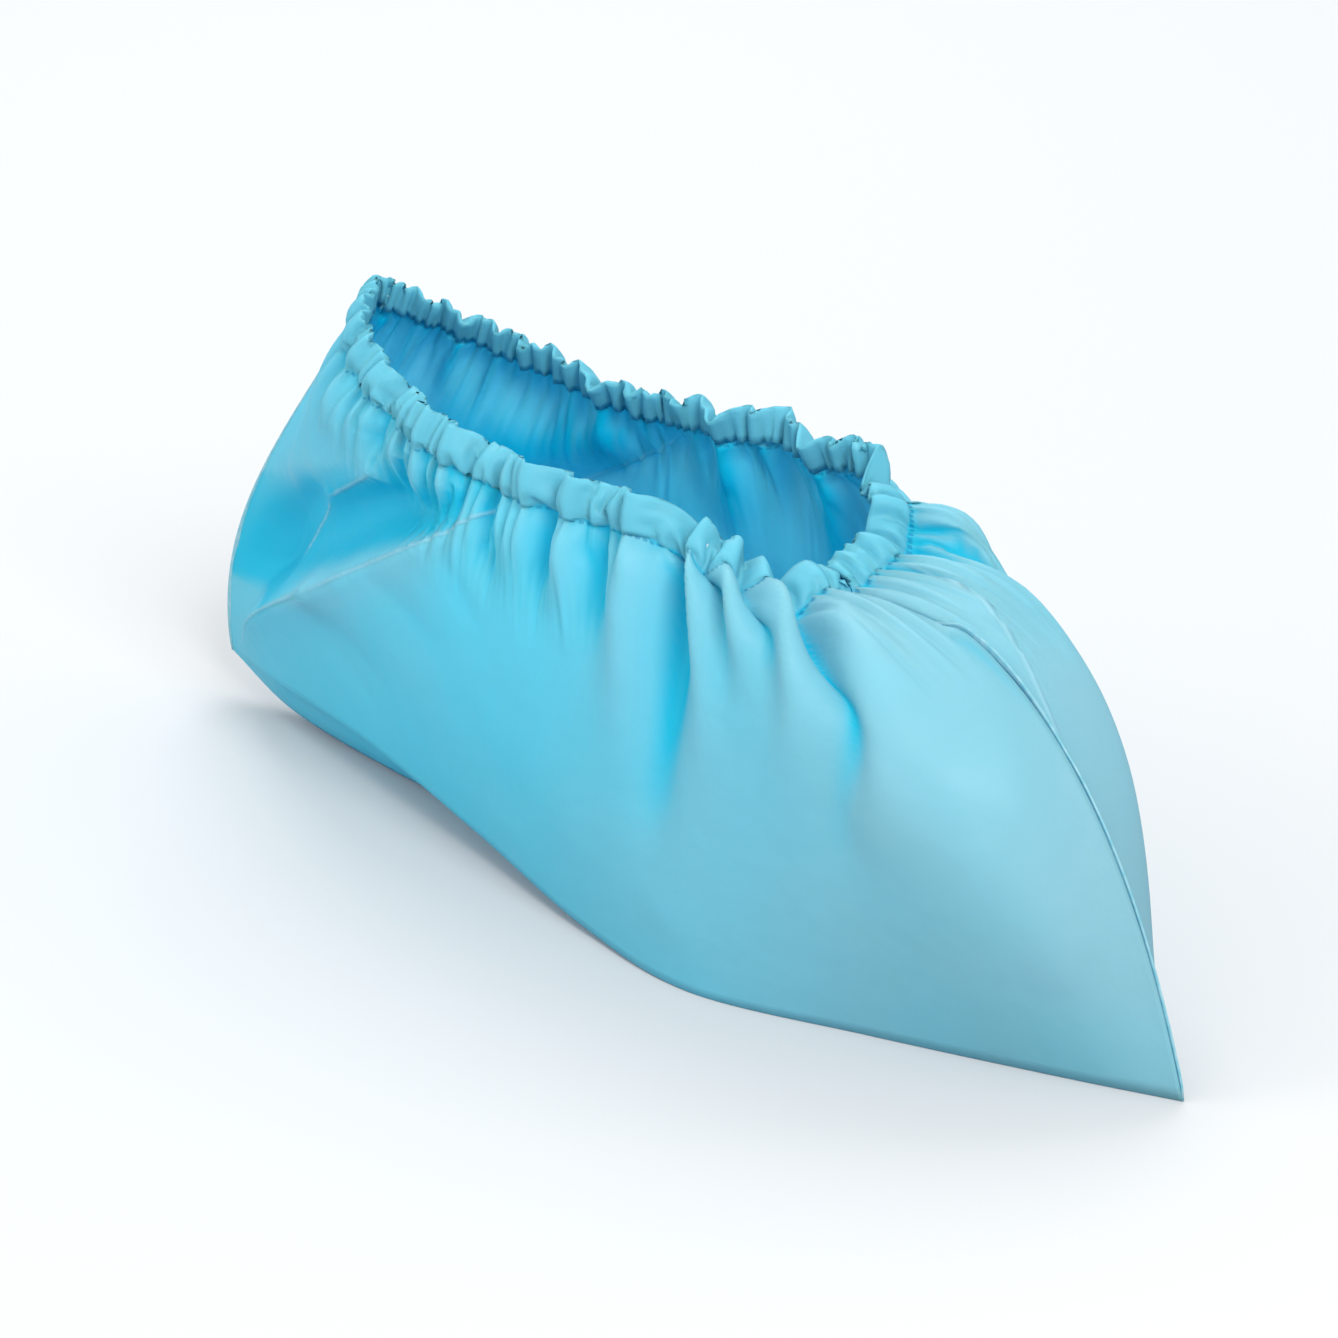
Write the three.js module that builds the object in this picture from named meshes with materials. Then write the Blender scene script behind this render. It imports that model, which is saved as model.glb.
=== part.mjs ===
// Disposable film shoe cover in its worn form, in millimetres. The toe points along +X and the sole
// rests on the plane Z = 0. One sheet of film is folded along the sole and welded at the heel and at
// the toe. Its top edge is turned in over an elastic band, which gathers it round the mouth.
import * as THREE from "three";

const wall = 1; // modelled thickness of the film
const pieceGap = 0.3; // clearance between neighbouring pieces
const filmLength = 410; // cut length of the film from weld to weld
const filmHeight = 165; // mean height of a side from its floor edge to the hem

const columns = 60; // steps along the film
const soleRows = 3; // steps from the keel to the floor edge
const sideRows = 11; // steps from the floor edge to the hem
const topRow = soleRows + sideRows;
const mitreFloor = 0.3; // keeps the inner skin from running away in the sharp weld edges

const soleFlat = 0.3; // share of the half width that stays down before the bottom turns up
const finDepth = 3; // weld fin, measured out from the film's edge
const finTopShare = 0.7; // share of the last step that the fin climbs, so that it stops below the hem

const hemGap = 0.5; // clearance under the hem casing, which leans back from the film
const hemUpright = 0.6; // how far the casing turns from the film's own slope towards upright
const ruffles = 31; // ruffles round the casing
const ruffleDrift = 0.9; // radians of unevenness in the ruffles' spacing
const ruffleSpells = 5; // close and wide spells of ruffles round the casing

const near = -1; // the side towards -Y
const far = 1; // the side towards +Y

const filmFinish = { color: 0x62bfdc, roughness: 0.45, metalness: 0 };
const casingFinish = { color: 0x4db4d8, roughness: 0.5, metalness: 0 };
const weldFinish = { color: 0x6fb9c6, roughness: 0.4, metalness: 0 };
const elasticFinish = { color: 0xe8ecef, roughness: 0.8, metalness: 0 };

const table = (names, rows) =>
  rows.map((row) => Object.fromEntries(names.map((name, place) => [name, row[place]])));

// Cross sections along the film, from the heel weld (0) to the toe weld (1). Each side runs from its
// floor edge to the hem as one curve: low and high are the curve's handles at its two ends.
const stations = table(
  ["film", "edgeX", "edgeHalf", "edgeLift", "keelLift", "lowX", "lowOut", "lowUp",
    "highX", "highOut", "highUp", "hemX", "hemHalf", "hemZ"],
  [
    [0.0, -190, 0, 12, 12, -8, 0, 40, -38, 0, -50, -126, 0, 136],
    [0.1, -157, 11, 15, 3, -4, 6, 38, -34, 8, -40, -114, 17.5, 131],
    [0.22, -104, 22, 16, 0, -2, 9, 36, -17, 9, -32, -88, 30, 122],
    [0.38, -44, 32, 9, 0, 0, 10, 38, -4, 9, -30, -40, 37, 116],
    [0.54, 14, 43, 2, 0, 2, 7, 40, 4, 9, -28, 4, 39, 117],
    [0.66, 60, 47, 0, 0, 4, 5, 44, 14, 12, -18, 34, 38, 119],
    [0.78, 110, 31, 0, 0, 3, 16, 52, 36, 17, -2, 54, 35, 117.5],
    [0.9, 162, 12, 0, 0, -4, 25, 58, 58, 18, 4, 66, 23, 110],
    [1.0, 192, 0, 0, 0, -20, 0, 66, 65, 0, 13, 70, 0, 105],
  ],
);

// Gathers that run down from the hem: lean is the drift along the film over a full height, depth is
// positive for a swell and negative for a groove, and reach is the share of the height it covers.
const gathers = table(
  ["side", "film", "lean", "width", "depth", "reach"],
  [
    [near, 0.15, 0.1, 0.025, 3, 0.3],
    [near, 0.24, 0.06, 0.025, -4, 0.3],
    [near, 0.33, 0.02, 0.024, 3.5, 0.32],
    [near, 0.42, -0.02, 0.022, -4, 0.35],
    [near, 0.49, -0.03, 0.022, 3.5, 0.3],
    [near, 0.55, -0.05, 0.022, -4, 0.35],
    [near, 0.62, -0.08, 0.024, 4, 0.5],
    [near, 0.7, -0.12, 0.02, -7, 0.65],
    [near, 0.75, -0.12, 0.022, 5, 0.5],
    [near, 0.8, -0.16, 0.02, -4.5, 0.4],
    [near, 0.85, -0.2, 0.022, 4, 0.45],
    [near, 0.9, -0.24, 0.02, -6, 0.6],
    [near, 0.95, -0.2, 0.018, 3.5, 0.35],
    [far, 0.14, 0.1, 0.025, -3.5, 0.3],
    [far, 0.23, 0.06, 0.025, 4, 0.35],
    [far, 0.32, 0.03, 0.024, -4, 0.35],
    [far, 0.4, 0, 0.022, 3.5, 0.3],
    [far, 0.47, -0.02, 0.022, -5, 0.45],
    [far, 0.54, -0.05, 0.022, 4, 0.4],
    [far, 0.61, -0.08, 0.022, -6, 0.6],
    [far, 0.68, -0.1, 0.022, 4, 0.45],
    [far, 0.75, -0.14, 0.022, -4.5, 0.45],
    [far, 0.82, -0.2, 0.022, 4, 0.5],
    [far, 0.89, -0.22, 0.02, -5, 0.5],
  ],
);
const gatherPeak = 0.12; // share of the height below the hem where a gather is deepest
const gatherAtHem = 0.4; // share of its depth that a gather keeps at the hem

// Straight creases in the flat film, each from one point to another: film runs along the cut and up
// runs from the floor edge (0) to the hem (1). Width is in millimetres.
const creases = table(
  ["side", "fromFilm", "fromUp", "toFilm", "toUp", "width", "depth"],
  [
    [near, 0.02, 0.02, 0.46, 0.97, 9, 4],
    [near, 0.12, 0.34, 0.23, 0.74, 7, 3.5],
    [far, 0.02, 0.02, 0.4, 0.95, 9, 4],
    [far, 0.94, 0.98, 0.985, 0.5, 8, 3.5],
    [near, 0.99, 0.86, 0.96, 0.5, 8, 2.5],
  ],
);

// Hollows behind the heel creases, where the slack film falls in towards the ankle.
const hollows = table(
  ["side", "startFilm", "slope", "breadth", "depth"],
  [
    [near, 0.012, 2.15, 0.3, 9],
    [far, 0.012, 2.4, 0.3, 8],
  ],
);
const weldFade = 0.07; // relief dies out over this share of the film next to a weld
const edgeFade = 0.2; // and over this share of the height above the floor edge
const slopeStep = 0.004; // step that measures the film's slope

// Outline of the casing at one place, going up its outer leg, over the top and down its inner leg,
// and then back along the inside. Swell is how far a full ruffle pushes the point along out.
const casingOutline = table(
  ["out", "up", "swell"],
  [
    [0.5, 0, 0.3],
    [0.9, 4, 2.2],
    [0.8, 8, 3.2],
    [-2, 11.3, 0.8],
    [-4.8, 8, -2.6],
    [-4.9, 4, -1.8],
    [-4.5, 1, -0.6],
    [-3.5, 1, -0.6],
    [-3.9, 4, -1.8],
    [-3.8, 7.6, -2.6],
    [-2, 10, 0.8],
    [-0.2, 7.6, 3.2],
    [-0.1, 4, 2.2],
    [-0.5, 0, 0.3],
  ],
);

// Outline of the flat elastic inside the casing.
const elasticOutline = table(
  ["out", "up", "swell"],
  [
    [-1.3, 3.6, 0],
    [-1.3, 7.2, 0],
    [-2.7, 7.2, 0],
    [-2.7, 3.6, 0],
  ],
);

const { smoothstep, lerp } = THREE.MathUtils;

// Slope of one column of the station table at a station.
function stationSlope(index, name) {
  const before = stations[Math.max(index - 1, 0)];
  const after = stations[Math.min(index + 1, stations.length - 1)];
  return (after[name] - before[name]) / (after.film - before.film);
}

// One column of the station table at any place along the film.
function sectionValue(film, name) {
  const last = stations.length - 2;
  const found = stations.findIndex((station) => station.film > film) - 1;
  const index = found < 0 ? last : Math.min(found, last);
  const start = stations[index];
  const end = stations[index + 1];
  const span = end.film - start.film;
  const s = (film - start.film) / span;
  const rise = s * s * (3 - 2 * s);
  const startPull = s * (1 - s) ** 2 * span * stationSlope(index, name);
  const endPull = s * s * (s - 1) * span * stationSlope(index + 1, name);
  return lerp(start[name], end[name], rise) + startPull + endPull;
}

const sectionAt = (film) => {
  const names = Object.keys(stations[0]).filter((name) => name !== "film");
  return Object.fromEntries(names.map((name) => [name, sectionValue(film, name)]));
};

const liftOf = (section, name) => Math.max(0, section[name]);

// A point of the bottom, from the keel (0) to the floor edge (1).
function solePoint(side, film, across) {
  const section = sectionAt(film);
  const rise = smoothstep(across, soleFlat, 1);
  const z = lerp(liftOf(section, "keelLift"), liftOf(section, "edgeLift"), rise);
  return new THREE.Vector3(section.edgeX, side * section.edgeHalf * across, z);
}

// A point of a side before any relief, from the floor edge (0) to the hem (1).
function sidePoint(side, film, up) {
  const s = sectionAt(film);
  const edge = new THREE.Vector3(s.edgeX, s.edgeHalf, liftOf(s, "edgeLift"));
  const hem = new THREE.Vector3(s.hemX, s.hemHalf, s.hemZ);
  const low = new THREE.Vector3(s.lowX, s.lowOut, s.lowUp).add(edge);
  const high = new THREE.Vector3(s.highX, s.highOut, s.highUp).add(hem);
  const point = new THREE.CubicBezierCurve3(edge, low, high, hem).getPoint(up);
  point.y *= side;
  return point;
}

function gatherRelief(side, film, up) {
  const fall = 1 - up;
  let relief = 0;
  for (const gather of gathers) {
    if (gather.side !== side) continue;
    const across = (film - gather.film - gather.lean * fall) / gather.width;
    const onset = lerp(gatherAtHem, 1, smoothstep(fall, 0, gatherPeak));
    const fade = 1 - smoothstep(fall, gatherPeak, gather.reach);
    relief += gather.depth * Math.exp(-across * across) * onset * fade;
  }
  return relief;
}

function creaseRelief(side, film, up) {
  const place = new THREE.Vector3(film * filmLength, up * filmHeight, 0);
  let relief = 0;
  for (const crease of creases) {
    if (crease.side !== side) continue;
    const from = new THREE.Vector3(crease.fromFilm * filmLength, crease.fromUp * filmHeight, 0);
    const to = new THREE.Vector3(crease.toFilm * filmLength, crease.toUp * filmHeight, 0);
    const foot = new THREE.Line3(from, to).closestPointToPoint(place, true, new THREE.Vector3());
    relief += crease.depth * Math.exp(-place.distanceTo(foot) / crease.width);
  }
  return relief;
}

function hollowRelief(side, film, up) {
  let relief = 0;
  for (const hollow of hollows) {
    if (hollow.side !== side) continue;
    const behind = up - hollow.slope * (film - hollow.startFilm);
    if (behind <= 0) continue;
    const share = behind / hollow.breadth;
    relief -= hollow.depth * share * Math.exp(1 - share);
  }
  return relief;
}

// A finished point of a side, with its gathers, creases and hollows.
function filmPoint(side, film, up) {
  const [filmBefore, filmAfter] = [Math.max(film - slopeStep, 0), Math.min(film + slopeStep, 1)];
  const [upBefore, upAfter] = [Math.max(up - slopeStep, 0), Math.min(up + slopeStep, 1)];
  const along = sidePoint(side, filmAfter, up).sub(sidePoint(side, filmBefore, up));
  const climb = sidePoint(side, film, upAfter).sub(sidePoint(side, film, upBefore));
  const outward = along.cross(climb).normalize().multiplyScalar(-side);
  const floorFade = smoothstep(up, 0, edgeFade);
  const endFade = smoothstep(film, 0, weldFade) * smoothstep(1 - film, 0, weldFade);
  const relief = gatherRelief(side, film, up) + creaseRelief(side, film, up) + hollowRelief(side, film, up);
  return sidePoint(side, film, up).addScaledVector(outward, relief * floorFade * endFade);
}

// The film's outer skin. Both sides share the keel and the two welds, and each weld starts at a tip.
function outerSkin() {
  const points = [];
  const indexOf = new Map();
  const vertex = (side, column, row) => {
    const atWeld = column === 0 || column === columns;
    const heldRow = atWeld ? Math.max(row, soleRows) : row;
    const shared = atWeld || heldRow === 0;
    const key = `${shared ? "both" : side} ${column} ${heldRow}`;
    if (!indexOf.has(key)) {
      const film = column / columns;
      const onSole = heldRow <= soleRows;
      const point = onSole
        ? solePoint(side, film, heldRow / soleRows)
        : filmPoint(side, film, (heldRow - soleRows) / sideRows);
      indexOf.set(key, points.push(point) - 1);
    }
    return indexOf.get(key);
  };
  const faces = [];
  const addFace = (side, corners) => {
    const turned = side === near ? corners : corners.toReversed();
    if (new Set(turned).size === 3) faces.push(turned);
  };
  for (const side of [near, far]) {
    for (let column = 0; column < columns; column++) {
      for (let row = 0; row < topRow; row++) {
        const a = vertex(side, column, row);
        const b = vertex(side, column + 1, row);
        const c = vertex(side, column + 1, row + 1);
        const d = vertex(side, column, row + 1);
        addFace(side, [a, b, c]);
        addFace(side, [a, c, d]);
      }
    }
  }
  return { points, faces, vertex };
}

const faceNormal = (points, [a, b, c]) =>
  new THREE.Triangle(points[a], points[b], points[c]).getNormal(new THREE.Vector3());

// Inward offset of every point of a skin by the wall, with mitred edges.
function innerSkin(points, faces) {
  const meeting = points.map(() => []);
  for (const face of faces) {
    const normal = faceNormal(points, face);
    face.forEach((corner) => meeting[corner].push(normal));
  }
  return points.map((point, place) => {
    const around = meeting[place];
    const mean = around.reduce((sum, normal) => sum.add(normal), new THREE.Vector3()).normalize();
    const flattest = Math.min(...around.map((normal) => normal.dot(mean)));
    return point.clone().addScaledVector(mean, -wall / Math.max(mitreFloor, flattest));
  });
}

function geometryOf(points, faces) {
  const geometry = new THREE.BufferGeometry().setFromPoints(points);
  geometry.setIndex(faces.flat());
  geometry.computeVertexNormals();
  return geometry;
}

// The film as one open bag: outer skin, inner skin and the rim that joins them at the mouth.
function bagGeometry(skin, inner) {
  const shift = skin.points.length;
  const faces = [...skin.faces, ...skin.faces.map(([a, b, c]) => [c + shift, b + shift, a + shift])];
  for (const side of [near, far]) {
    for (let column = 0; column < columns; column++) {
      const a = skin.vertex(side, column, topRow);
      const b = skin.vertex(side, column + 1, topRow);
      const rim = [[a, b + shift, b], [a, a + shift, b + shift]];
      rim.forEach((face) => faces.push(side === near ? face.toReversed() : face));
    }
  }
  return geometryOf([...skin.points, ...inner], faces);
}

// Places round the mouth, along the near side to the toe and back along the far side, each with the
// directions along, up and out of the hem.
function hemPlaces(skin, inner) {
  const stops = [];
  for (let column = 0; column < columns; column++) stops.push([near, column]);
  for (let column = columns; column > 0; column--) stops.push([far, column]);
  const places = stops.map(([side, column]) => {
    const rim = skin.vertex(side, column, topRow);
    const below = skin.points[skin.vertex(side, column, topRow - 1)];
    const centre = skin.points[rim].clone().lerp(inner[rim], 0.5);
    const up = skin.points[rim].clone().sub(below).normalize();
    up.z += hemUpright;
    return { centre, up: up.normalize() };
  });
  places.forEach((place, index) => {
    const before = places.at(index - 1).centre;
    const after = places[(index + 1) % places.length].centre;
    const along = after.clone().sub(before).normalize();
    place.out = along.clone().cross(place.up).normalize();
    place.up = place.out.clone().cross(along);
  });
  return places;
}

// A closed ring swept round the mouth from an outline.
function hemRing(places, outline) {
  const points = places.flatMap((place, index) => {
    const turn = (2 * Math.PI * index) / places.length;
    const ruffle = 0.5 + 0.5 * Math.sin(ruffles * turn + ruffleDrift * Math.sin(ruffleSpells * turn));
    return outline.map(({ out, up, swell }) =>
      place.centre
        .clone()
        .addScaledVector(place.out, out + swell * ruffle)
        .addScaledVector(place.up, hemGap + up),
    );
  });
  const size = outline.length;
  const faces = [];
  for (let index = 0; index < places.length; index++) {
    const next = (index + 1) % places.length;
    for (let corner = 0; corner < size; corner++) {
      const turned = (corner + 1) % size;
      const a = index * size + corner;
      const b = next * size + corner;
      const c = next * size + turned;
      const d = index * size + turned;
      faces.push([a, b, c], [a, c, d]);
    }
  }
  return geometryOf(points, faces);
}

// The flat fin left by a hot-cut weld, standing out from the film's edge at the heel or the toe.
function finGeometry(skin, column) {
  const rows = Array.from({ length: sideRows + 1 }, (_, step) => soleRows + step);
  const spine = rows.map((row) => skin.points[skin.vertex(near, column, row)].clone());
  spine.at(-1).lerpVectors(spine.at(-2), spine.at(-1), finTopShare);
  const crosswise = new THREE.Vector3(0, column === 0 ? -1 : 1, 0);
  const ribs = spine.map((point, step) => {
    const climb = spine[Math.min(step + 1, sideRows)].clone().sub(spine[Math.max(step - 1, 0)]);
    return { point, outward: crosswise.clone().cross(climb).normalize() };
  });
  const corners = [[pieceGap, -1], [pieceGap + finDepth, -1], [pieceGap + finDepth, 1], [pieceGap, 1]];
  const points = ribs.flatMap(({ point, outward }) =>
    corners.map(([reach, side]) =>
      point.clone().addScaledVector(outward, reach).add(new THREE.Vector3(0, (side * wall) / 2, 0)),
    ),
  );
  const faces = [];
  const addFace = (face) => faces.push(column === 0 ? face.toReversed() : face);
  const size = corners.length;
  for (let step = 0; step < sideRows; step++) {
    for (let corner = 0; corner < size; corner++) {
      const turned = (corner + 1) % size;
      const a = step * size + corner;
      const b = step * size + turned;
      addFace([a, b, b + size]);
      addFace([a, b + size, a + size]);
    }
  }
  const last = sideRows * size;
  addFace([0, 2, 1]);
  addFace([0, 3, 2]);
  addFace([last, last + 1, last + 2]);
  addFace([last, last + 2, last + 3]);
  return geometryOf(points, faces);
}

function piece(name, geometry, finish) {
  const mesh = new THREE.Mesh(geometry, new THREE.MeshStandardMaterial(finish));
  mesh.name = name;
  return mesh;
}

const skin = outerSkin();
const inner = innerSkin(skin.points, skin.faces);
const places = hemPlaces(skin, inner);

const pieces = new THREE.Group();
pieces.add(
  piece("film_body", bagGeometry(skin, inner), filmFinish),
  piece("heel_seam", finGeometry(skin, 0), weldFinish),
  piece("toe_seam", finGeometry(skin, columns), weldFinish),
  piece("hem_casing", hemRing(places, casingOutline), casingFinish),
  piece("elastic_band", hemRing(places, elasticOutline), elasticFinish),
);

// The origin is at the middle of the bottom of the whole cover's box.
const box = new THREE.Box3().setFromObject(pieces);
const middle = box.getCenter(new THREE.Vector3());
pieces.position.set(-middle.x, -middle.y, -box.min.z);

const shoeCover = new THREE.Group();
shoeCover.add(pieces);

export default shoeCover;
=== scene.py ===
import math

import bpy
import numpy as np
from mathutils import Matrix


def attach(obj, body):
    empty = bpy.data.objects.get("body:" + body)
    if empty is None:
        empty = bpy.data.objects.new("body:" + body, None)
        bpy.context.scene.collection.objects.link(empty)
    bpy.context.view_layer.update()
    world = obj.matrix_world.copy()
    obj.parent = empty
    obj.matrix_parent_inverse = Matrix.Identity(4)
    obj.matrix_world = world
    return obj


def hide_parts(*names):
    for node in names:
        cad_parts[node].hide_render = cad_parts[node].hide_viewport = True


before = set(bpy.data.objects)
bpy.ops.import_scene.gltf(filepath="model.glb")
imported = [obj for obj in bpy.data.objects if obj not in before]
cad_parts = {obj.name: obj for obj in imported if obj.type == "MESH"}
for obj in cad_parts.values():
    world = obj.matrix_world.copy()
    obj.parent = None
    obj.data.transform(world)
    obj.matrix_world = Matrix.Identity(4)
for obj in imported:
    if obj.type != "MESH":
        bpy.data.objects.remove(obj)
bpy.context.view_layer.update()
print("frame loaded:", ", ".join(sorted(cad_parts)))

mm = 0.001  # the tables below are in millimetres, every mesh is in metres
coverShift = np.array([-0.33, 0.0, 0.0])  # centres the cover's box on the origin, mm
near, far = -1, 1  # the side towards -Y and the side towards +Y
slopeStep, climbStep = 0.004, 0.03  # steps that measure the film's slope and its rise at the hem
keelShare = 0.3  # share of the sole's half width that lies at the keel's height
tiny = 1e-9  # keeps a division by nothing from failing


def asTable(names, rows):
    return [dict(zip(names.split(), row)) for row in rows]


# cross sections from the heel weld (film 0) to the toe weld (film 1), floor edge to hem
stations = asTable(
    "film edgeX edgeHalf edgeLift keelLift lowX lowOut lowUp highX highOut highUp hemX hemHalf hemZ",
    [
        (0.00, -190, 0, 12, 12, -8, 0, 40, -38, 0, -50, -126, 0, 136),
        (0.10, -157, 11, 15, 3, -4, 6, 38, -34, 8, -40, -114, 17.5, 131),
        (0.22, -104, 22, 16, 0, -2, 9, 36, -17, 9, -32, -88, 30, 122),
        (0.38, -44, 32, 9, 0, 0, 10, 38, -4, 9, -30, -40, 37, 116),
        (0.54, 14, 43, 2, 0, 2, 7, 40, 4, 9, -28, 4, 39, 117),
        (0.66, 60, 47, 0, 0, 4, 5, 44, 14, 12, -18, 34, 38, 119),
        (0.78, 110, 31, 0, 0, 3, 16, 52, 36, 17, -2, 54, 35, 117.5),
        (0.90, 162, 12, 0, 0, -4, 25, 58, 58, 18, 4, 66, 23, 110),
        (1.00, 192, 0, 0, 0, -20, 0, 66, 65, 0, 13, 70, 0, 105),
    ],
)
stationFilm = np.array([row["film"] for row in stations])


def smoothStep(x, low, high):
    s = np.clip((x - low) / (high - low), 0, 1)
    return s * s * (3 - 2 * s)


def blend(first, second, share):
    return first + (second - first) * share


def sectionValue(name, film):
    value = np.array([row[name] for row in stations], float)
    slope = np.empty_like(value)
    slope[1:-1] = (value[2:] - value[:-2]) / (stationFilm[2:] - stationFilm[:-2])
    slope[0] = (value[1] - value[0]) / (stationFilm[1] - stationFilm[0])
    slope[-1] = (value[-1] - value[-2]) / (stationFilm[-1] - stationFilm[-2])
    i = np.clip(np.searchsorted(stationFilm, film, side="right") - 1, 0, len(stations) - 2)
    span = stationFilm[i + 1] - stationFilm[i]
    s = (film - stationFilm[i]) / span
    rise = s * s * (3 - 2 * s)
    bend = s * (1 - s) ** 2 * slope[i] + s * s * (s - 1) * slope[i + 1]
    return blend(value[i], value[i + 1], rise) + span * bend


def solePoint(side, film, across):
    keel, edge = [np.maximum(sectionValue(name, film), 0) for name in ("keelLift", "edgeLift")]
    z = blend(keel, edge, smoothStep(across, keelShare, 1))
    return np.stack([sectionValue("edgeX", film), side * sectionValue("edgeHalf", film) * across, z], -1)


def sidePoint(side, film, up):
    def corner(names):
        return np.stack([sectionValue(name, film) for name in names.split()], -1)

    edge = corner("edgeX edgeHalf edgeLift")
    edge[..., 2] = np.maximum(edge[..., 2], 0)
    rim = corner("hemX hemHalf hemZ")
    low = edge + corner("lowX lowOut lowUp")
    high = rim + corner("highX highOut highUp")
    u = up[..., None]
    point = (1 - u) ** 3 * edge + 3 * u * (1 - u) ** 2 * low + 3 * u * u * (1 - u) * high + u ** 3 * rim
    point[..., 1] *= side
    return point


# the folds of the film
folds = {
    "length": 410, "height": 165,  # flat film, weld to weld and floor edge to hem
    "peak": 0.10, "atHem": 0.65,  # where a gather is deepest, and what is left of it at the hem
    "weldFade": 0.07, "edgeFade": 0.2, "hemFade": 0.85, "hemFadeFrom": 0.72,
    "sharp": 2.0,  # how far from its line a crease is held sharp
    "gathers": asTable(
        "side film lean width depth reach",
        [
            (near, 0.15, 0.10, 0.025, 2.5, 0.22),
            (near, 0.24, 0.06, 0.025, -3.0, 0.22),
            (near, 0.33, 0.02, 0.024, 3.0, 0.25),
            (near, 0.42, -0.02, 0.022, -4.0, 0.30),
            (near, 0.465, -0.03, 0.020, 3.0, 0.25),
            (near, 0.505, -0.03, 0.016, -5.0, 0.30),
            (near, 0.545, -0.05, 0.020, 4.0, 0.30),
            (near, 0.585, -0.05, 0.016, -5.5, 0.36),
            (near, 0.64, -0.08, 0.022, 6.0, 0.65),
            (near, 0.70, -0.11, 0.020, -11.0, 0.90),
            (near, 0.735, -0.10, 0.014, 7.0, 0.60),
            (near, 0.768, -0.14, 0.015, -8.0, 0.50),
            (near, 0.80, -0.16, 0.018, 5.0, 0.40),
            (near, 0.835, -0.18, 0.017, -8.0, 0.48),
            (near, 0.882, -0.22, 0.015, 8.0, 0.65),
            (near, 0.922, -0.20, 0.020, -12.0, 0.85),
            (near, 0.958, -0.20, 0.014, 2.5, 0.35),
            (far, 0.14, 0.10, 0.025, -3.5, 0.30),
            (far, 0.23, 0.06, 0.025, 4.0, 0.35),
            (far, 0.32, 0.03, 0.024, -4.0, 0.35),
            (far, 0.40, 0.00, 0.022, 3.5, 0.30),
            (far, 0.47, -0.02, 0.022, -5.0, 0.45),
            (far, 0.54, -0.05, 0.022, 4.0, 0.40),
            (far, 0.61, -0.08, 0.022, -6.0, 0.60),
            (far, 0.68, -0.10, 0.022, 4.0, 0.45),
            (far, 0.75, -0.14, 0.022, -4.5, 0.45),
            (far, 0.82, -0.20, 0.022, 4.0, 0.50),
            (far, 0.89, -0.22, 0.020, -5.0, 0.50),
        ],
    ),
    "creases": asTable(
        "side fromFilm fromUp toFilm toUp width depth",
        [
            (near, 0.02, 0.02, 0.19, 0.40, 9, 4.0),
            (near, 0.19, 0.40, 0.44, 1.00, 9, 4.0),
            (near, 0.12, 0.36, 0.16, 0.61, 6, 3.5),
            (near, 0.16, 0.61, 0.23, 0.80, 6, 3.5),
            (far, 0.02, 0.02, 0.40, 0.95, 9, 4.0),
            (far, 0.93, 1.00, 0.998, 0.50, 7, 4.5),
        ],
    ),
    "hollows": asTable(
        "side startFilm slope breadth depth",
        [(near, 0.012, 2.2, 0.24, 8), (far, 0.012, 2.4, 0.3, 10)],
    ),
    # the sunk facet at the heel, between the long crease and a shorter ridge above it
    "facet": {
        "side": near, "depth": 9, "slant": 15, "edge": 2.0, "past": 2.0,
        "crease": [(0.0, 0.22), (0.115, 0.235), (0.19, 0.40), (0.44, 1.0), (0.5, 1.15)],
        "ridge": [(0.0, 0.52), (0.10, 0.62), (0.17, 0.72), (0.24, 0.87), (0.30, 1.02), (0.36, 1.4)],
    },
    # faint handling creases all over the panels
    "faint": {
        "seed": 11, "count": 46, "film": (0.03, 0.97), "up": (0.05, 0.9), "lean": 0.6,
        "share": (0.3, 1), "longest": 90, "width": 9, "depth": 2.0,
    },
}

# the gathered hem: how one ruffle moves each point of its section
hem = {
    "ruffles": 21, "drift": 0.9, "spells": 3.0, "second": 0.35, "secondPitch": 2.3,
    "upright": 0.6, "bridge": 0.5, "bridgeFrom": 0.3,
    "fall": 0.2, "belowPeak": 0.06, "belowDepth": 2.2,
    "section": asTable(
        "place out up outRuffle upRuffle",
        [
            (0.00, -1.8, 0.0, 1.0, 0.0),
            (0.10, -0.3, 0.6, 1.8, 0.2),
            (0.22, 1.4, 2.4, 2.8, 0.9),
            (0.40, 1.2, 6.4, 3.0, 0.6),
            (0.56, 0.0, 10.2, 2.2, 1.0),
            (0.66, -1.4, 11.6, 1.6, 1.2),
            (0.78, -3.0, 10.0, 1.2, 0.6),
            (1.00, -3.4, 2.0, 0.8, 0.0),
        ],
    ),
}


def gatherRelief(side, film, up):
    fall = 1 - up
    relief = np.zeros_like(film)
    for row in folds["gathers"]:
        if row["side"] == side:
            across = (film - row["film"] - row["lean"] * fall) / row["width"]
            onset = blend(folds["atHem"], 1, smoothStep(fall, 0, folds["peak"]))
            fade = 1 - smoothStep(fall, folds["peak"], row["reach"])
            relief += row["depth"] * np.exp(-across ** 2) * onset * fade
    return relief


def flatPlace(film, up):
    return np.stack([film * folds["length"], up * folds["height"]], -1)


def distanceTo(place, start, run):
    along = np.clip((place - start) @ run / (run @ run), 0, 1)
    foot = start + along[..., None] * run
    return along, np.linalg.norm(place - foot, axis=-1)


def creaseDistances(side, film, up):
    place = flatPlace(film, up)
    for row in folds["creases"]:
        if row["side"] == side:
            start = flatPlace(row["fromFilm"], row["fromUp"])
            run = flatPlace(row["toFilm"], row["toUp"]) - start
            yield row, distanceTo(place, start, run)[1]


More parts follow.
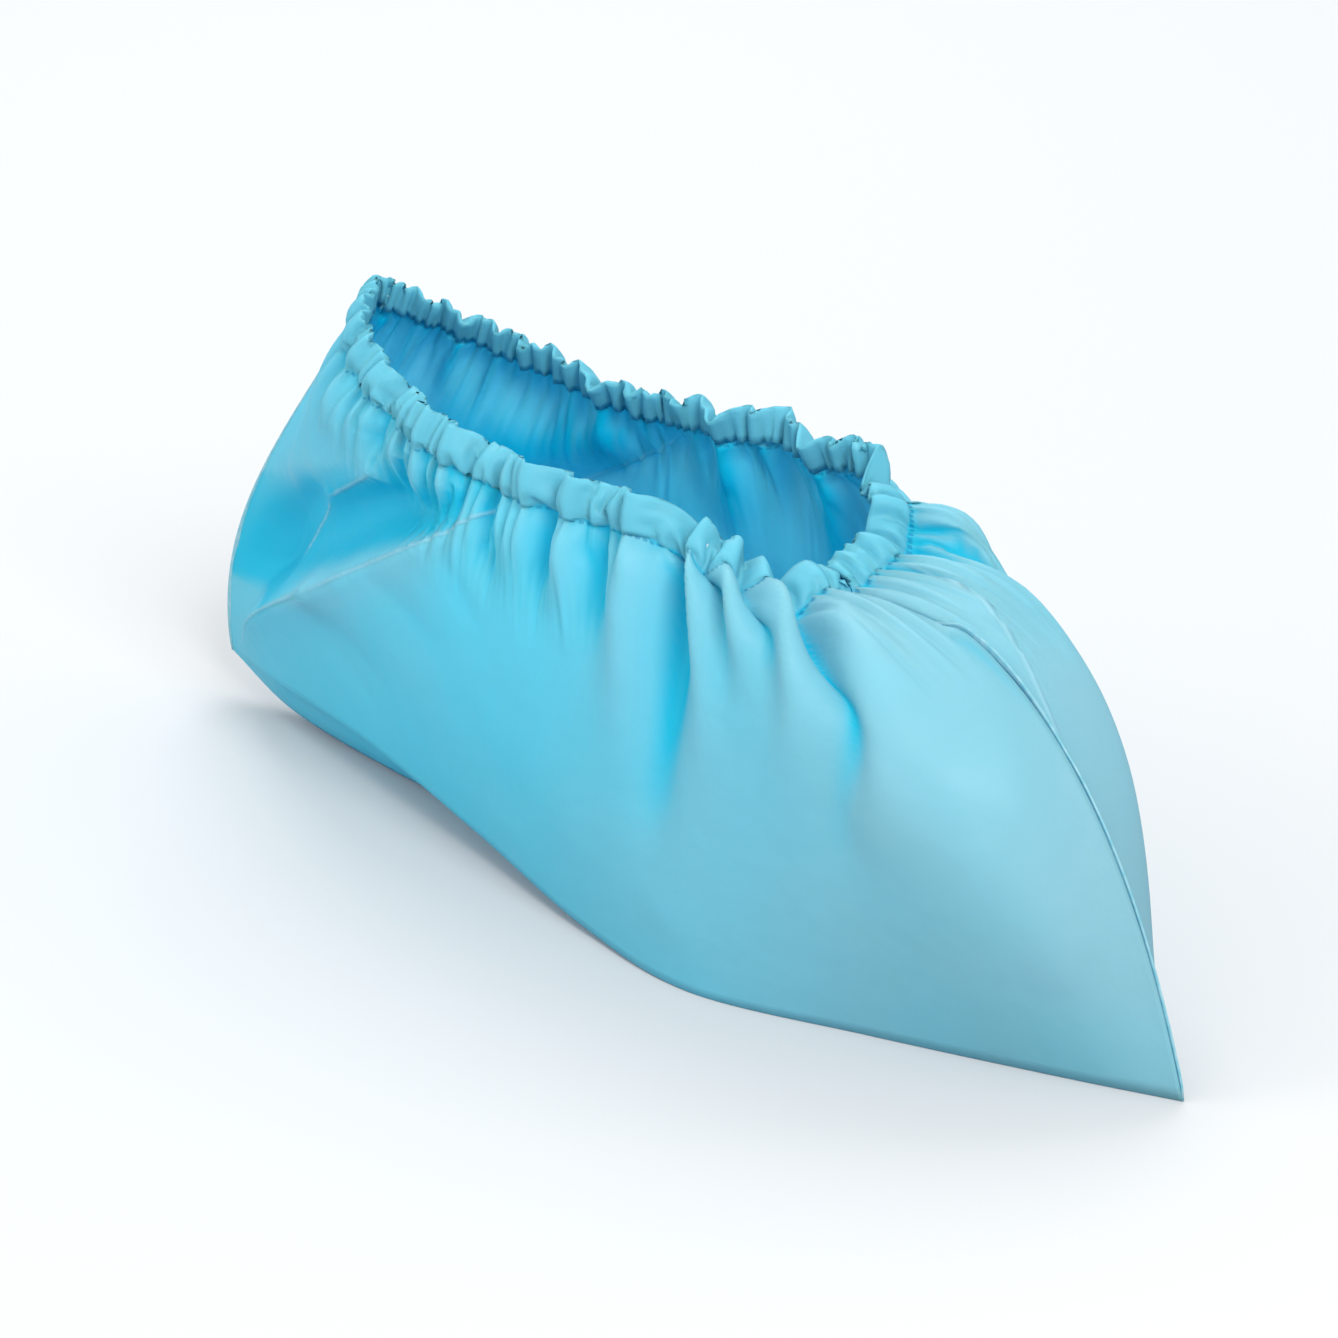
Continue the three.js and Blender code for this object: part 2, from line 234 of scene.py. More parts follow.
def creaseRelief(side, film, up):
    relief = np.zeros_like(film)
    for row, away in creaseDistances(side, film, up):
        relief += row["depth"] * np.exp(-away / row["width"])
    return relief


def creaseMask(side, film, up):
    mask = np.zeros_like(film)
    for row, away in creaseDistances(side, film, up):
        mask = np.maximum(mask, np.exp(-(away / folds["sharp"]) ** 2))
    return mask


def faintRelief(side, film, up):
    faint = folds["faint"]
    draw = np.random.default_rng(faint["seed"] + side)
    place = flatPlace(film, up)
    relief = np.zeros_like(film)
    for number in range(faint["count"]):
        start = flatPlace(draw.uniform(*faint["film"]), draw.uniform(*faint["up"]))
        heading = draw.normal(math.pi / 2, faint["lean"])
        length = draw.uniform(*faint["share"]) * faint["longest"]
        run = length * np.array([math.cos(heading), math.sin(heading)])
        depth = faint["depth"] * draw.uniform(-1, 1)
        along, away = distanceTo(place, start, run)
        ends = 4 * along * (1 - along)
        relief += depth * ends * np.exp(-away / faint["width"])
    return relief


def hollowRelief(side, film, up):
    relief = np.zeros_like(film)
    for row in folds["hollows"]:
        if row["side"] == side:
            share = np.maximum(up - row["slope"] * (film - row["startFilm"]), 0) / row["breadth"]
            relief -= row["depth"] * share * np.exp(1 - share)
    return relief


def heightOver(line, film, up):
    ends, rises = np.array(line).T
    slope = np.diff(rises) / np.diff(ends) * folds["height"] / folds["length"]
    piece = np.clip(np.searchsorted(ends, film) - 1, 0, len(slope) - 1)
    return (up - np.interp(film, ends, rises)) * folds["height"] / np.sqrt(1 + slope[piece] ** 2)


def facetShare(side, film, up, slant, past=0):
    facet = folds["facet"]
    if side != facet["side"]:
        return np.zeros_like(film)
    inside = np.minimum(heightOver(facet["crease"], film, up), -heightOver(facet["ridge"], film, up))
    return np.clip((inside + past) / slant, 0, 1)


def ruffleWave(side, film):
    turn = 2 * math.pi * film
    phase = hem["ruffles"] * turn + hem["drift"] * np.sin(hem["spells"] * turn + side)
    second = hem["second"] * np.sin(hem["secondPitch"] * phase + side)
    return (np.sin(phase) + second) / (1 + hem["second"])


def weldFade(film):
    return smoothStep(film, 0, folds["weldFade"]) * smoothStep(1 - film, 0, folds["weldFade"])


def outwardOf(side, film, up):
    ends = [np.clip(film + d, 0, 1) for d in (-slopeStep, slopeStep)]
    tops = [np.clip(up + d, 0, 1) for d in (-slopeStep, slopeStep)]
    along = sidePoint(side, ends[1], up) - sidePoint(side, ends[0], up)
    climb = sidePoint(side, film, tops[1]) - sidePoint(side, film, tops[0])
    outward = -side * np.cross(along, climb)
    return outward / np.linalg.norm(outward, axis=-1, keepdims=True)


def lastingRelief(side, film, up):
    fade = weldFade(film) * smoothStep(up, 0, folds["edgeFade"])
    relief = creaseRelief(side, film, up) + hollowRelief(side, film, up)
    relief -= folds["facet"]["depth"] * facetShare(side, film, up, folds["facet"]["slant"])
    relief *= 1 - folds["hemFade"] * smoothStep(up, folds["hemFadeFrom"], 1)
    return fade * (relief + faintRelief(side, film, up))


def gatheredRelief(side, film, up):
    fall = 1 - up
    below = smoothStep(fall, 0, hem["belowPeak"]) * (1 - smoothStep(fall, hem["belowPeak"], hem["fall"]))
    relief = gatherRelief(side, film, up) + hem["belowDepth"] * ruffleWave(side, film) * below
    relief *= weldFade(film) * smoothStep(up, 0, folds["edgeFade"])
    pinch = hem["section"][0]
    atHem = 1 - smoothStep(fall, 0, hem["belowPeak"])
    return relief + atHem * (pinch["out"] + pinch["outRuffle"] * ruffleWave(side, film))


def filmPoint(side, film, up, gathered=True):
    relief = lastingRelief(side, film, up)
    if gathered:
        relief = relief + gatheredRelief(side, film, up)
    return sidePoint(side, film, up) + relief[..., None] * outwardOf(side, film, up)


def hemPoint(side, film, place, ruffled=1):
    top = np.ones_like(film)
    bridged = 1 - hem["bridge"] * smoothStep(place, 0, hem["bridgeFrom"])
    gathers = ruffled * bridged * gatherRelief(side, film, top) * weldFade(film)
    relief = lastingRelief(side, film, top) + gathers
    stitch = sidePoint(side, film, top) + relief[..., None] * outwardOf(side, film, top)
    after, before = np.clip(film + slopeStep, 0, 1), np.clip(film - slopeStep, 0, 1)
    along = sidePoint(side, after, top) - sidePoint(side, before, top)
    atEnd = (film <= 0) | (film >= 1)
    along[atEnd, 0] = 0  # the two sides meet square across the cover at the welds
    along[atEnd, 2] = 0
    along[atEnd, 1] = np.where(film[atEnd] <= 0, side, -side)
    along /= np.linalg.norm(along, axis=-1, keepdims=True)
    climb = stitch - sidePoint(side, film, top - climbStep)
    climb /= np.linalg.norm(climb, axis=-1, keepdims=True)
    climb[..., 2] += hem["upright"]
    out = -side * np.cross(along, climb)
    out /= np.linalg.norm(out, axis=-1, keepdims=True)
    rise = side * np.cross(along, out)
    wave = ruffled * ruffleWave(side, film) * weldFade(film)
    spots = np.array([row["place"] for row in hem["section"]])

    def shaped(name):
        return np.interp(place, spots, [row[name] for row in hem["section"]])

    outward = shaped("out") + shaped("outRuffle") * wave
    upward = shaped("up") + shaped("upRuffle") * wave
    return stitch + outward[..., None] * out + upward[..., None] * rise


def deselectAll():
    for o in bpy.context.selected_objects:
        o.select_set(False)


def choose(piece):
    deselectAll()
    piece.select_set(True)
    bpy.context.view_layer.objects.active = piece


def newGrid(name, columns, rows):
    deselectAll()
    bpy.ops.mesh.primitive_grid_add(x_subdivisions=columns, y_subdivisions=rows, size=2)
    piece = bpy.context.object
    piece.name = piece.data.name = name
    return piece


def cleanMesh(piece, merge=0):
    choose(piece)
    bpy.ops.object.mode_set(mode="EDIT")
    bpy.ops.mesh.select_all(action="SELECT")
    if merge:
        bpy.ops.mesh.remove_doubles(threshold=merge)
    bpy.ops.mesh.normals_make_consistent(inside=False)
    bpy.ops.object.mode_set(mode="OBJECT")


def thicken(piece, thickness, offset):
    wall = piece.modifiers.new("wall", "SOLIDIFY")
    wall.thickness = thickness
    wall.offset = offset
    choose(piece)
    bpy.ops.object.modifier_apply(modifier=wall.name)
    bpy.ops.object.shade_smooth()


# the film: one sheet, folded under the sole, from the turned-in edge of one hem to the other
filmSheet = {
    "columns": 230, "soleRows": 6, "sideRows": 50, "hemRows": 16,
    "thickness": 0.18 * mm, "merge": 0.02 * mm,
    "flat": (0.41, 0.43),
}
stitchRow = filmSheet["soleRows"] + filmSheet["sideRows"]  # counted from the keel, as is the next
edgeRow = stitchRow + filmSheet["hemRows"]

# how deep a fold looks, painted into the colour: film in a pocket or the heel hollow gets a fuller, darker
# colour as painted shade, film on a ridge a paler one as a painted highlight
pockets = {"rounds": 60, "full": 2.0, "ridge": 3.0, "hollow": 1.0, "fromUp": (0.2, 0.5)}

# how the film settles between its sole, its welds and its gathered edge
settle = {
    "rounds": 500, "stiff": 0.9, "shear": 0.35,
    "smoothLow": 0.22, "smoothHem": 0.05, "smoothFade": (0.6, 0.95), "creaseSharp": 0.9,
    "gather": 0.5, "gatherFrom": 0.5, "gatherPower": 1.3,  # spare length at the hem, and how low it starts
    "heelFrom": 0.78, "heelSpan": (0.05, 0.4),  # at the heel the gathers stay close to the hem
    "holdSide": 0.008, "holdStitch": 0.03, "holdHem": 0.01,
    "holdFold": 0.09, "fullFold": 8,
    "holdCrease": 0.08, "creaseFade": (0.6, 0.9),
    "holdFaint": 0.06, "faintFade": (0.7, 0.9),
    "mostMove": 9, "apart": 0.4,  # farthest from its worn place, and least distance from the middle plane
    "hairpin": 0.62, "open": 0.4,  # no fold closes below this share of its flat width
}


def pull(a, b, freeA, freeB, rest, stiff, onlyApart=False):
    run = b - a
    length = np.linalg.norm(run, axis=-1) + tiny
    share = np.maximum(freeA + freeB, tiny)
    spare = length - rest
    if onlyApart:
        spare = np.minimum(spare, 0)
    move = (stiff * spare / length / share)[..., None] * run
    a += freeA[..., None] * move
    b -= freeB[..., None] * move


def middleOf(grid):
    return (grid[1:-1, :-2] + grid[1:-1, 2:] + grid[:-2, 1:-1] + grid[2:, 1:-1]) / 4


def settleFilm(worn, plain, spare, free, hold, smooth):
    film = worn.copy()
    rows, columns = free.shape
    half = np.where(np.arange(rows) < rows // 2, near, far)[:, None]
    apart = settle["apart"] * free * (np.arange(rows) != rows // 2)[:, None]
    along = np.diff(plain, axis=1) * spare[:, :-1, None]
    climb = np.diff(plain, axis=0)
    lengths = [
        np.linalg.norm(along, axis=-1),
        np.linalg.norm(climb, axis=-1),
        np.linalg.norm(along[:-1] + climb[:, 1:], axis=-1),
        np.linalg.norm(climb[:, :-1] - along[:-1], axis=-1),
    ]
    wide = settle["hairpin"] * (lengths[0][:, :-1] + lengths[0][:, 1:])
    links = []
    for start in (0, 1):  # every other link at a time, so that no point is pulled twice at once
        one, other = slice(start, columns - 1, 2), slice(start + 1, columns, 2)
        links.append((np.s_[:, one], np.s_[:, other], settle["stiff"], lengths[0][:, one]))
        one, other = slice(start, rows - 1, 2), slice(start + 1, rows, 2)
        links.append((np.s_[one, :], np.s_[other, :], settle["stiff"], lengths[1][one]))
        links.append((np.s_[one, :-1], np.s_[other, 1:], settle["shear"], lengths[2][one]))
        links.append((np.s_[one, 1:], np.s_[other, :-1], settle["shear"], lengths[3][one]))
    for number in range(settle["rounds"]):
        for one, other, stiff, rest in links:
            pull(film[one], film[other], free[one], free[other], rest, stiff)
        for start in range(4):
            one, other = slice(start, columns - 2, 4), slice(start + 2, columns, 4)
            freedom = free[:, one], free[:, other]
            pull(film[:, one], film[:, other], *freedom, wide[:, one], settle["open"], onlyApart=True)
        film[1:-1, 1:-1] += (smooth * free)[1:-1, 1:-1, None] * (middleOf(film) - film[1:-1, 1:-1])
        film += (hold * free)[..., None] * (worn - film)
        away = film - worn
        reach = np.linalg.norm(away, axis=-1, keepdims=True)
        film = worn + away * np.minimum(1, settle["mostMove"] / (reach + tiny))
        film[..., 2] = np.maximum(film[..., 2], 0)
        film[..., 1] = half * np.maximum(half * film[..., 1], apart)
    return film


# masks for painted shade in fold pockets and the heel hollow, and for painted highlights on raised folds
def pocketDepth(worn, up, hollow):
    even = worn.copy()
    for number in range(pockets["rounds"]):
        even[1:-1, 1:-1] = middleOf(even)
    normal = np.cross(np.gradient(worn, axis=0), np.gradient(worn, axis=1))
    normal /= np.linalg.norm(normal, axis=-1, keepdims=True) + tiny
    if normal[len(worn) // 4].mean(0)[1] > 0:  # the first half of the grid is the near side
        normal = -normal
    depth = np.sum((even - worn) * normal, -1) * smoothStep(up, *pockets["fromUp"])
    pocketShade = np.clip(depth / pockets["full"] + pockets["hollow"] * hollow, 0, 1)
    ridge = np.clip(-depth / pockets["ridge"], 0, 1) * (1 - pocketShade)
    return pocketShade, ridge


def makeFilm():
    columns = filmSheet["columns"]
    film = newGrid("film", columns, 2 * edgeRow)
    flat = np.empty(len(film.data.vertices) * 3)
    film.data.vertices.foreach_get("co", flat)
    flat = flat.reshape(2 * edgeRow + 1, columns + 1, 3)
    along = np.clip((flat[..., 0] + 1) / 2, 0, 1)
    row = np.rint(np.abs(flat[..., 1]) * edgeRow)
    worn, plain = np.empty_like(flat), np.empty_like(flat)
    crease, fold, hollow, faint = [np.zeros_like(along) for mask in range(4)]
    up = np.clip((row - filmSheet["soleRows"]) / filmSheet["sideRows"], 0, 1)
    for side in (near, far):
        mine = flat[..., 1] * side >= 0
        onSole = mine & (row <= filmSheet["soleRows"])
        onSide = mine & (row > filmSheet["soleRows"]) & (row <= stitchRow)
        onHem = mine & (row > stitchRow)
        spot = side, along[onSide], up[onSide]
        hemSpot = side, along[onHem], (row[onHem] - stitchRow) / filmSheet["hemRows"]
        worn[onSole] = solePoint(side, along[onSole], row[onSole] / filmSheet["soleRows"])
        worn[onSide] = filmPoint(*spot)
        worn[onHem] = hemPoint(*hemSpot)
        plain[mine] = worn[mine]
        plain[onSide] = filmPoint(*spot, gathered=False)
        plain[onHem] = hemPoint(*hemSpot, ruffled=0)
        crease[onSide] = creaseMask(*spot)
        # the heel facet's share also paints shade into the colour of the heel hollow
        hollow[onSide] = facetShare(*spot, folds["facet"]["edge"], folds["facet"]["past"])
        fold[onSide] = np.abs(gatherRelief(*spot)) / settle["fullFold"]
        faint[onSide] = np.abs(faintRelief(*spot)) / folds["faint"]["depth"]
    low = blend(settle["heelFrom"], settle["gatherFrom"], smoothStep(along, *settle["heelSpan"]))
    spare = 1 + settle["gather"] * smoothStep((up - low) / (1 - low), 0, 1) ** settle["gatherPower"]
    free = ((row > filmSheet["soleRows"]) & (along > 0) & (along < 1)).astype(float)
    hold = np.where(row < stitchRow, settle["holdSide"], settle["holdHem"])
    hold[row == stitchRow] = settle["holdStitch"]
    creaseHold = settle["holdCrease"] * crease * (1 - smoothStep(up, *settle["creaseFade"]))
    faintHold = settle["holdFaint"] * faint * (1 - smoothStep(up, *settle["faintFade"]))
    hold = hold + creaseHold + settle["holdFold"] * fold + faintHold
    smooth = blend(settle["smoothLow"], settle["smoothHem"], smoothStep(up, *settle["smoothFade"]))
    smooth = smooth * (1 - settle["creaseSharp"] * crease)
    worn = settleFilm(worn, plain, spare, free, hold, smooth)
    film.data.vertices.foreach_set("co", ((worn + coverShift) * mm).ravel())
    # keep the masks that paint shade into the pockets and highlights onto the ridges
    for name, value in zip(("pocketShade", "ridge"), pocketDepth(worn, up, hollow)):
        mark = film.data.attributes.new(name, "FLOAT", "POINT")
        mark.data.foreach_set("value", value.ravel())
    cleanMesh(film, filmSheet["merge"])
    thicken(film, filmSheet["thickness"], -1)
    return film, worn + coverShift


film, filmGrid = makeFilm()
print("film shaped:", len(film.data.polygons), "faces")

# the elastic lies in the tunnel of the hem and follows its ruffles
elasticBand = {
    "height": 1.2 * mm, "thickness": 0.2 * mm, "room": 4.0 * mm, "least": 0.1,
    "outer": (0.28, 0.40, 0.52), "inner": (0.80, 0.90, 1.0), "rim": (0.60, 0.66, 0.72),
}


def ringOfHem(places):
    rings = []
    for place in places:
        step = stitchRow + round(place * filmSheet["hemRows"])
        nearHalf, farHalf = filmGrid[edgeRow - step], filmGrid[edgeRow + step]
        rings.append(np.concatenate([nearHalf, farHalf[::-1]]))
    return np.mean(rings, axis=0)


def makeElastic():
    outer, inner = ringOfHem(elasticBand["outer"]), ringOfHem(elasticBand["inner"])
    middle = (outer + inner) / 2 * mm
    rise = ringOfHem(elasticBand["rim"]) * mm - middle
    rise /= np.linalg.norm(rise, axis=-1, keepdims=True)
    tunnel = np.linalg.norm(outer - inner, axis=-1) * mm
    tall = elasticBand["height"] / 2 * np.clip(tunnel / elasticBand["room"], elasticBand["least"], 1)
    rings = [middle + step * tall[:, None] * rise for step in (-1, 0, 1)]
    elastic = newGrid("elastic", len(middle) - 1, len(rings) - 1)
    elastic.data.vertices.foreach_set("co", np.concatenate(rings).ravel())
    cleanMesh(elastic, filmSheet["merge"])
    thicken(elastic, elasticBand["thickness"], 0)
    return elastic


elastic = makeElastic()

# hot-cut welds: a narrow fin of fused film along each end
weldFin = {
    "width": 1.6, "root": 0.4, "thickness": 0.5 * mm, "across": 4, "lowest": 0.1,
    "waver": 0.2, "waves": 5.0, "twist": 0.7,
    "footTaper": (-0.02, 0.04), "topTaper": (0.85, 1), "topLoss": 0.5,
}


def makeWeld(name, column, outward):
    edge = filmGrid[edgeRow + filmSheet["soleRows"]:edgeRow + stitchRow + 1, column]
    run = np.gradient(edge, axis=0)
    run /= np.linalg.norm(run, axis=-1, keepdims=True)
    out = np.cross(run, (0, 1, 0)) * outward
    out /= np.linalg.norm(out, axis=-1, keepdims=True)
    s = np.linspace(0, 1, len(edge))
    narrowed = 1 - weldFin["topLoss"] * smoothStep(s, *weldFin["topTaper"])
    taper = smoothStep(s, *weldFin["footTaper"]) * narrowed
    lines = []
    for step in np.linspace(-weldFin["root"], weldFin["width"], weldFin["across"] + 1):
        line = edge + (step * taper)[:, None] * out
        swing = weldFin["waver"] * max(step, 0) / weldFin["width"]
        line[:, 1] += swing * np.sin(2 * math.pi * weldFin["waves"] * s + weldFin["twist"] * step)
        line[:, 2] = np.maximum(line[:, 2], weldFin["lowest"])
        lines.append(line * mm)
    weld = newGrid(name, len(edge) - 1, weldFin["across"])
    weld.data.vertices.foreach_set("co", np.concatenate(lines).ravel())
    cleanMesh(weld)
    thicken(weld, weldFin["thickness"], 0)
    return weld


heelWeld = makeWeld("heel_weld", 0, -1)
toeWeld = makeWeld("toe_weld", filmSheet["columns"], 1)
print("welds and elastic made")

# materials: the film is satin, paler towards the toe, partly where it is stretched over the toe and partly as
# a painted sheen, with painted shade in its pockets and painted highlights on its ridges
filmLook = {
    # the last colour on the next line is painted shade, for the fold pockets and the heel hollow
    "pale": (0.28, 0.58, 0.62, 1), "plain": (0.12, 0.74, 0.86, 1), "paintedShade": (0.0, 0.62, 0.80, 1),
    # the first colour on the next line is a painted highlight for raised folds
    "paintedHighlight": (0.34, 0.74, 0.80, 1), "paintedHighlightShare": 0.35,
    "line": (0.45, 0.78, 0.84, 1), "hem": (0.17, 0.65, 0.75, 1), "hemRows": (0.3, 1.5),
    "through": (0.03, 0.55, 0.78, 1), "translucent": 0.46,
    "roughness": (0.50, 0.62), "specular": 0.45,
    # the toe ramp on the next line pales the film towards the toe, partly as stretched film and partly as a
    # painted sheen
    "stretchAndSheenFilm": (0.5, 0.95), "stretchAndSheen": 0.8, "cloudRange": (0.35, 0.65), "cloudy": 0.3,
    "cloudScale": 14, "grainScale": 1500, "crinkleScale": 130, "crinkleRange": (0.3, 0.7),
    "grainDepth": 0.00005, "crinkleDepth": 0.0008, "bump": 0.5,
}


def addNode(tree, kind, **values):
    node = tree.nodes.new(kind)
    for name, value in values.items():
        if name in node.inputs:
            node.inputs[name].default_value = value
        else:
            setattr(node, name, value)
    return node


def filmGrainGroup():
    group = bpy.data.node_groups.new("filmGrain", "ShaderNodeTree")
    group.interface.new_socket("Grain Scale", in_out="INPUT", socket_type="NodeSocketFloat")
    group.interface.new_socket("Crinkle Scale", in_out="INPUT", socket_type="NodeSocketFloat")
    group.interface.new_socket("Grain", in_out="OUTPUT", socket_type="NodeSocketFloat")
    group.interface.new_socket("Crinkle", in_out="OUTPUT", socket_type="NodeSocketFloat")
    group.interface.new_socket("Cloud", in_out="OUTPUT", socket_type="NodeSocketFloat")
    inward, outward = group.nodes.new("NodeGroupInput"), group.nodes.new("NodeGroupOutput")
    place = group.nodes.new("ShaderNodeTexCoord")
    grain = addNode(group, "ShaderNodeTexNoise", Detail=0.0)
    crinkle = addNode(group, "ShaderNodeTexNoise", Detail=2.0, Roughness=0.45)
    cloud = addNode(group, "ShaderNodeTexNoise", Scale=filmLook["cloudScale"], Detail=1.0)
    for noise in (grain, crinkle, cloud):
        group.links.new(place.outputs["Object"], noise.inputs["Vector"])
    group.links.new(inward.outputs["Grain Scale"], grain.inputs["Scale"])
    group.links.new(inward.outputs["Crinkle Scale"], crinkle.inputs["Scale"])
    group.links.new(grain.outputs[0], outward.inputs["Grain"])
    group.links.new(crinkle.outputs[0], outward.inputs["Crinkle"])
    group.links.new(cloud.outputs[0], outward.inputs["Cloud"])
    return group


filmGrain = filmGrainGroup()


def bumped(tree, height, depth, strength, after=None):
    bump = addNode(tree, "ShaderNodeBump", Strength=strength, Distance=depth)
    tree.links.new(height, bump.inputs["Height"])
    if after is not None:
        tree.links.new(after.outputs["Normal"], bump.inputs["Normal"])
    return bump


def mixedColour(tree, factor, first, second):
    mix = tree.nodes.new("ShaderNodeMix")
    mix.data_type = "RGBA"
    tree.links.new(factor, mix.inputs["Factor"])
    for socket, value in ((mix.inputs[6], first), (mix.inputs[7], second)):
        if isinstance(value, tuple):
            socket.default_value = value
        else:
            tree.links.new(value, socket)
    return mix.outputs[2]


def mathNode(tree, operation, first, second=None):
    node = tree.nodes.new("ShaderNodeMath")
    node.operation = operation
    for socket, value in zip(node.inputs, (first, second)):
        if value is None:
            continue
        if isinstance(value, (int, float)):
            socket.default_value = value
        else:
            tree.links.new(value, socket)
    return node.outputs[0]


def ranged(tree, value, fromLow, fromHigh, toLow=0.0, toHigh=1.0):
    node = addNode(tree, "ShaderNodeMapRange", clamp=True)
    limits = {"From Min": fromLow, "From Max": fromHigh, "To Min": toLow, "To Max": toHigh}
    for name, number in limits.items():
        node.inputs[name].default_value = number
    tree.links.new(value, node.inputs["Value"])
    return node.outputs[0]


def waveNode(tree, value, count):
    return mathNode(tree, "SINE", mathNode(tree, "MULTIPLY", value, 2 * math.pi * count))


def newMaterial(name):
    material = bpy.data.materials.new(name)
    material.use_nodes = True
    return material, material.node_tree, material.node_tree.nodes["Principled BSDF"]


def grainOf(tree, look):
    grain = tree.nodes.new("ShaderNodeGroup")
    grain.node_tree = filmGrain
    grain.inputs["Grain Scale"].default_value = look["grainScale"]
    grain.inputs["Crinkle Scale"].default_value = look["crinkleScale"]
    return grain


def letLightThrough(tree, shader, look):
    through = addNode(tree, "ShaderNodeBsdfTranslucent", Color=look["through"])
    mix = addNode(tree, "ShaderNodeMixShader", Fac=look["translucent"])
    tree.links.new(shader.outputs[0], mix.inputs[1])
    tree.links.new(through.outputs[0], mix.inputs[2])
    tree.links.new(mix.outputs[0], tree.nodes["Material Output"].inputs["Surface"])


# thin pale lines where the film has been folded sharply, in flat millimetres
creaseLook = {
    "width": 1.3, "core": 0.2, "strength": 0.5, "depth": 0.0006, "bump": 0.6,
    "startFade": 0.15, "endFade": 0.85, "endLeft": 0.2,
    "sides": 1000,  # keeps the lines of one side off the other
}


def creaseLineGroup():
    group = bpy.data.node_groups.new("creaseLine", "ShaderNodeTree")
    for name in ("Place", "Start", "End"):
        group.interface.new_socket(name, in_out="INPUT", socket_type="NodeSocketVector")
    group.interface.new_socket("Width", in_out="INPUT", socket_type="NodeSocketFloat")
    group.interface.new_socket("Mask", in_out="OUTPUT", socket_type="NodeSocketFloat")
    inward, outward = group.nodes.new("NodeGroupInput"), group.nodes.new("NodeGroupOutput")

    def vector(operation, *values):
        node = group.nodes.new("ShaderNodeVectorMath")
        node.operation = operation
        for socket, value in zip(node.inputs, values):
            group.links.new(value, socket)
        return node

    offset = vector("SUBTRACT", inward.outputs["Place"], inward.outputs["Start"]).outputs[0]
    run = vector("SUBTRACT", inward.outputs["End"], inward.outputs["Start"]).outputs[0]
    reached = vector("DOT_PRODUCT", offset, run).outputs[1]
    square = vector("DOT_PRODUCT", run, run).outputs[1]
    along = ranged(group, mathNode(group, "DIVIDE", reached, square), 0.0, 1.0)
    foot = vector("SCALE", run)
    group.links.new(along, foot.inputs["Scale"])
    distance = vector("DISTANCE", offset, foot.outputs[0]).outputs[1]
    across = mathNode(group, "DIVIDE", distance, inward.outputs["Width"])
    start = ranged(group, along, 0.0, creaseLook["startFade"])
    end = ranged(group, along, creaseLook["endFade"], 1.0, 1.0, creaseLook["endLeft"])
    middle = ranged(group, across, creaseLook["core"], 1.0, 1.0, 0.0)
    mask = mathNode(group, "MULTIPLY", middle, mathNode(group, "MULTIPLY", start, end))
    group.links.new(mask, outward.inputs["Mask"])
    return group


creaseLine = creaseLineGroup()

# the line where the turned-in edge is sealed down: a row of short crimps
sealLine = {
    "crimps": 150, "dash": (-0.4, 0.2), "halfRows": 0.22, "blur": 0.15,
    "shade": (0.01, 0.32, 0.58, 1), "strength": 0.6, "depth": 0.0004, "bump": 0.6,
}


